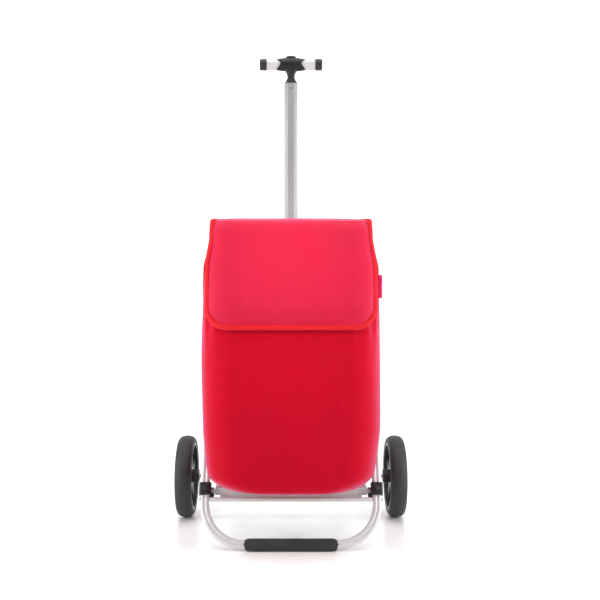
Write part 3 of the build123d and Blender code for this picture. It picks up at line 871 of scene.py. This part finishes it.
def mouth_hem():
    """Binding round the bag's mouth, raised at the back where the flap is sewn on."""
    ring = bag_outline(RIM_FRONT, 120)
    samples = []
    for i, point in enumerate(ring + ring[:1]):
        ahead = ring[(i + 1) % len(ring)] - ring[i - 1]
        out = Vector((ahead.y, -ahead.x, 0.0)).normalized()
        lift = 4 * MM * ease((point.y - 0.02) / 0.026)
        height = RIM_FRONT + rim_slope(RIM_FRONT, point.y) - 3.5 * MM + lift
        samples.append((Vector((point.x, point.y, height)), out))
    hem = tape("mouth_hem", samples, 4.4 * MM, 3.2 * MM, -2.2 * MM, MATERIALS["red_binding"])
    declare(hem, "chassis", "red_binding")
    gather(hem)
    line = [(place - Vector((0, 0, 3 * MM)), normal) for place, normal in samples]
    thread = stitches("mouth_stitching", line, 0.9 * MM)
    declare(thread, "chassis", "red_binding")
    gather(thread)


def side_welt(side):
    """Corded seam where the bag's side meets its back panel, standing proud at its upper end."""
    samples = []
    for step in range(61):
        height = lerp(WELT_LOW, WELT_HIGH, step / 60)
        proud = lerp(-0.3 * MM, 1.6 * MM, ease((height - WELT_RISES) / 0.02))
        proud *= ease((WELT_HIGH + 2 * MM - height) / 0.01)
        x = side * (bag_half(height) + proud - 0.6 * MM)
        place = Vector((x, WELT_Y, height + rim_slope(height, WELT_Y)))
        samples.append((place, Vector((side, -0.05, 0)).normalized()))
    name = "side_welt_right" if side > 0 else "side_welt_left"
    welt = tape(name, samples, 1.9 * MM, 2.6 * MM, -1.3 * MM, MATERIALS["red_fabric"])
    declare(welt, "chassis", "red_fabric")
    gather(welt)


def side_tab():
    """Blank folded ribbon sewn into the right-hand side."""
    low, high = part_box("side_label")
    bm = bmesh.new()
    rows = []
    for step in range(15):
        z = lerp(low[2], high[2], step / 14)
        sway = 0.7 * MM * math.sin(step * 0.55)
        reach = high[0] - 0.25 * MM * math.cos(step * 0.9)
        row = []
        for angle in round_angles(12):
            wide = signed_power(math.cos(angle), 0.5)
            row.append(bm.verts.new((
                lerp(low[0] - 4 * MM, reach, 0.5 + wide / 2),
                (low[1] + high[1]) / 2 + 1.1 * MM * math.sin(angle) + sway * (0.5 + wide / 2),
                z,
            )))
        rows.append(row)
    tab = loft("side_tab", bm, rows, MATERIALS["label_fabric"])
    declare(tab, "chassis", "label_fabric", "side_label")
    gather(tab)


# ---------------------------------------------------------------- foam, tyres and handle


FOOT_Y = -0.138
FOOT_Z = 0.01045
FRAME_HINGE_Y = 0.084
FRAME_HINGE_Z = 0.540
FOAM_RADIUS = 7.6 * MM
FOAM_RIDGE = 3.3 * MM
FOAM_END = 0.012


def foam_sleeve():
    """Soft two-ridged foam sleeve on the foot run, rounded at its ends and flat on the floor."""
    _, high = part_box("foam_grip")
    centre = Vector((0, FOOT_Y, FOOT_Z))
    tilt = math.atan2(FRAME_HINGE_Z - FOOT_Z, FRAME_HINGE_Y - FOOT_Y)
    along = Vector((0, math.cos(tilt), math.sin(tilt)))
    across = Vector((0, -math.sin(tilt), math.cos(tilt)))
    bm = bmesh.new()
    rows = []
    half = high[0]
    for step in range(97):
        x = lerp(-half, half, step / 96)
        end = max(0.0, 1 - (half - abs(x)) / FOAM_END)
        unevenness = 1 + 0.012 * noise.noise(Vector((x * 60, 0, 0)))
        girth = math.sqrt(max(0.0, 1 - 0.92 * end ** 2)) * unevenness
        row = []
        for angle in round_angles(36):
            u, v = math.cos(angle), math.sin(angle)
            ridge = FOAM_RIDGE * abs(u) ** 0.5 * math.copysign(1, u)
            waist = 1 - 0.10 * math.exp(-(u / 0.25) ** 2)
            place = centre + along * (ridge * girth + u * FOAM_RADIUS * girth)
            place += across * v * FOAM_RADIUS * waist * girth
            row.append(bm.verts.new((x, place.y, max(place.z, 0.0))))
        rows.append(row)
    sleeve = loft("foam_sleeve", bm, rows, MATERIALS["foam"])
    declare(sleeve, "stand", "foam", "foam_grip")


TYRE_RADIUS = 80.0
GROOVE_DEPTH = 0.5
GROOVE_PLACE = 0.40


def tyre(side):
    """Round-shouldered solid tyre with two fine tread grooves. Its radii are in millimetres."""
    node = "tyre_right" if side > 0 else "tyre_left"
    low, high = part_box(node)
    middle = (low[0] + high[0]) / 2
    half = (high[0] - low[0]) / 2
    section = [(-0.80, 66.1), (-0.95, 67.5), (-1.0, 69.5), (-0.98, 71.5)]
    for k in range(1, 30):
        u = -0.94 + 1.88 * k / 30
        groove = GROOVE_DEPTH * math.exp(-((abs(u) - GROOVE_PLACE) / 0.045) ** 2)
        section.append((u, TYRE_RADIUS - 7.4 * abs(u) ** 2.7 - groove))
    section += [(0.98, 71.5), (1.0, 69.5), (0.95, 67.5), (0.80, 66.1)]
    bm = bmesh.new()
    rows = []
    for angle in round_angles(96):
        y, z = math.cos(angle), math.sin(angle)
        rows.append([
            bm.verts.new((middle + u * half, AXLE_Y + r * MM * y, AXLE_Z + r * MM * z))
            for u, r in section
        ])
    grid_faces(bm, rows + rows[:1], wrap=True)
    piece = new_object(node + "_cover", bm, MATERIALS["tyre"])
    declare(piece, "wheel_right" if side > 0 else "wheel_left", "tyre", node)


def handle_shell():
    """Sculpted barrel in the centre of the T-handle, bowed at the top and hollowed at both ends."""
    bm = bmesh.new()
    rows = []
    for step in range(33):
        share = -1 + step / 16
        tall = (13.7 - 2.9 * share ** 2) * MM
        deep = (13.4 - 1.6 * share ** 2) * MM
        row = []
        for angle in round_angles(40):
            v = math.sin(angle)
            reach = (21.0 + 8.2 * abs(v) ** 1.5) * MM
            y = POLE_Y + deep * math.cos(angle)
            row.append(bm.verts.new((share * reach, y, HANDLE_Z + tall * v)))
        rows.append(row)
    grid_faces(bm, rows, wrap=True)
    for ring, side in ((rows[0], -1), (rows[-1], 1)):
        hub = [
            bm.verts.new((side * 20.4 * MM, lerp(POLE_Y, v.co.y, 0.5), lerp(HANDLE_Z, v.co.z, 0.5)))
            for v in ring
        ]
        grid_faces(bm, [ring, hub], wrap=True)
        bm.faces.new(hub)
    barrel = new_object("handle_barrel", bm, MATERIALS["knurled"])
    bevel = barrel.modifiers.new("bevel", "BEVEL")
    bevel.width = 0.6 * MM
    bevel.segments = 2
    bevel.limit_method = "ANGLE"
    settle(barrel)
    declare(barrel, "handle", "black_plastic", "handle_core")


def neck():
    """Hourglass neck under the barrel, with a rib down its front and its back."""
    bm = bmesh.new()
    rows = []
    for step in range(25):
        t = step / 24
        z = lerp(NECK_LOW, NECK_HIGH, t)
        flare_low = 6.0 * max(0.0, 1 - t / NECK_WAIST) ** 1.6
        flare_high = 6.4 * max(0.0, (t - NECK_WAIST) / (1 - NECK_WAIST)) ** 1.7
        wide = (7.0 + flare_low + flare_high) * MM
        deep = (7.2 + 1.2 * abs(2 * t - 1) ** 2) * MM
        row = []
        for angle in round_angles(32):
            x = signed_power(math.cos(angle), 0.45) * wide
            rib = 0.9 * MM * math.exp(-(x / (2.2 * MM)) ** 2)
            row.append(bm.verts.new((x, POLE_Y + signed_power(math.sin(angle), 0.45) * (deep + rib), z)))
        rows.append(row)
    piece = loft("handle_neck", bm, rows, MATERIALS["black_plastic"])
    declare(piece, "handle", "black_plastic")


def button_dome():
    """Low domed push button, with a round groove underneath that takes the spring."""
    low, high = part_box("release_button")
    groove = ((3.2, 0.0), (3.2, 4.7), (5.3, 4.7), (5.3, 0.0))
    dome = (
        (0.0, 1.0),
        (0.45, 1.0),
        (0.62, 0.985),
        (0.77, 0.93),
        (0.89, 0.80),
        (0.97, 0.55),
        (1.0, 0.25),
    )
    bm = bmesh.new()
    rows = []
    for radius, rise in groove:
        rows.append([
            bm.verts.new((
                radius * MM * math.cos(angle),
                POLE_Y + radius * MM * math.sin(angle),
                low[2] + rise * MM,
            ))
            for angle in round_angles(32)
        ])
    for z_share, girth in dome:
        rows.append([
            bm.verts.new((
                signed_power(math.cos(angle), 0.7) * (high[0] - low[0]) / 2 * girth,
                POLE_Y + signed_power(math.sin(angle), 0.7) * (high[1] - low[1]) / 2 * girth,
                lerp(low[2], high[2], z_share),
            ))
            for angle in round_angles(32)
        ])
    piece = loft("button_dome", bm, rows, MATERIALS["black_plastic"])
    declare(piece, "button", "black_plastic", "release_button")


# ---------------------------------------------------------------- stage, lights and camera


STAGE_HALF = 6.0
BEND_START = 2.2
BEND_RADIUS = 1.6
WALL_TOP = 6.0


def stage():
    """A pale floor that curves up into a pale, evenly lit wall."""
    section = [(-STAGE_HALF, 0.0), (BEND_START, 0.0)]
    for k in range(1, 13):
        angle = math.pi / 2 * k / 12
        y, z = math.sin(angle), 1 - math.cos(angle)
        section.append((BEND_START + BEND_RADIUS * y, BEND_RADIUS * z))
    section.append((BEND_START + BEND_RADIUS, WALL_TOP))
    stage_piece("stage_floor", section[:2], 0.0)
    stage_piece("stage_wall", section[1:], 0.75)


def stage_piece(name, section, glow):
    """One strip of the stage. A glow above 0 makes it a lit backdrop."""
    bm = bmesh.new()
    rows = [[bm.verts.new((x, y, z)) for x in (-STAGE_HALF, STAGE_HALF)] for y, z in section]
    grid_faces(bm, rows, wrap=False)
    paint = Paint(name, (0.93, 0.93, 0.93), 0.22)
    paint.set("Specular IOR Level", 0.25)
    paint.set("Emission Color", (1.0, 1.0, 1.0, 1.0))
    paint.set("Emission Strength", glow)
    paint.rough(paint.noise(3, detail=2), 0.18, 0.26)
    new_object(name, bm, paint.material)


def hang(name, data, place, aim, power):
    """Put a lamp in the scene at a place, pointing at another."""
    data.energy = power
    lamp = bpy.data.objects.new(name, data)
    lamp.location = place
    lamp.rotation_euler = (Vector(aim) - Vector(place)).to_track_quat("-Z", "Y").to_euler()
    SCENE.collection.objects.link(lamp)


def area_light(name, place, aim, size, power):
    """A soft rectangular lamp that points at a place."""
    data = bpy.data.lights.new(name, "AREA")
    data.shape = "RECTANGLE"
    data.size, data.size_y = size
    hang(name, data, place, aim, power)


def spot_light(name, place, aim, spread, power):
    """A small lamp with a soft-edged cone that points at a place."""
    data = bpy.data.lights.new(name, "SPOT")
    data.shadow_soft_size = 0.12
    data.spot_size = math.radians(spread)
    data.spot_blend = 1.0
    hang(name, data, place, aim, power)


def lights():
    """Two long side lamps level with the bag, a narrow one on the flap and a broad one above."""
    world = bpy.data.worlds.new("studio")
    world.use_nodes = True
    background = world.node_tree.nodes["Background"]
    background.inputs["Color"].default_value = (1, 1, 1, 1)
    background.inputs["Strength"].default_value = 0.34
    SCENE.world = world
    middle = (0, 0, 0.4)
    area_light("side_left", (-1.35, -0.5, 0.5), middle, (0.6, 1.5), 22)
    area_light("side_right", (1.35, -0.5, 0.5), middle, (0.6, 1.5), 22)
    spot_light("flap_key", (0, -1.0, 1.05), (0, -0.19, 0.51), 25, 31)
    area_light("overhead", (0, -0.3, 2.55), (0, -0.1, 0), (3.0, 2.2), 57)


LENS = 52.44
SENSOR = 36
LENS_SHIFT = (0.015, 0.0033)
EYE = (0, -1.64, 0.428)


def camera():
    """Level camera in front of the bag, a little below half the trolley's height."""
    data = bpy.data.cameras.new("camera")
    data.lens = LENS
    data.sensor_width = SENSOR
    data.shift_x, data.shift_y = LENS_SHIFT
    eye = bpy.data.objects.new("camera", data)
    eye.location = EYE
    eye.rotation_euler = (math.pi / 2, 0, 0)
    SCENE.collection.objects.link(eye)
    SCENE.camera = eye


SCENE.view_settings.view_transform = "Standard"
paint_cad_nodes()
bag_shell()
flap()
mouth_hem()
side_welt(-1)
side_welt(1)
side_tab()
foam_sleeve()
tyre(-1)
tyre(1)
handle_shell()
neck()
button_dome()
stage()
lights()
camera()
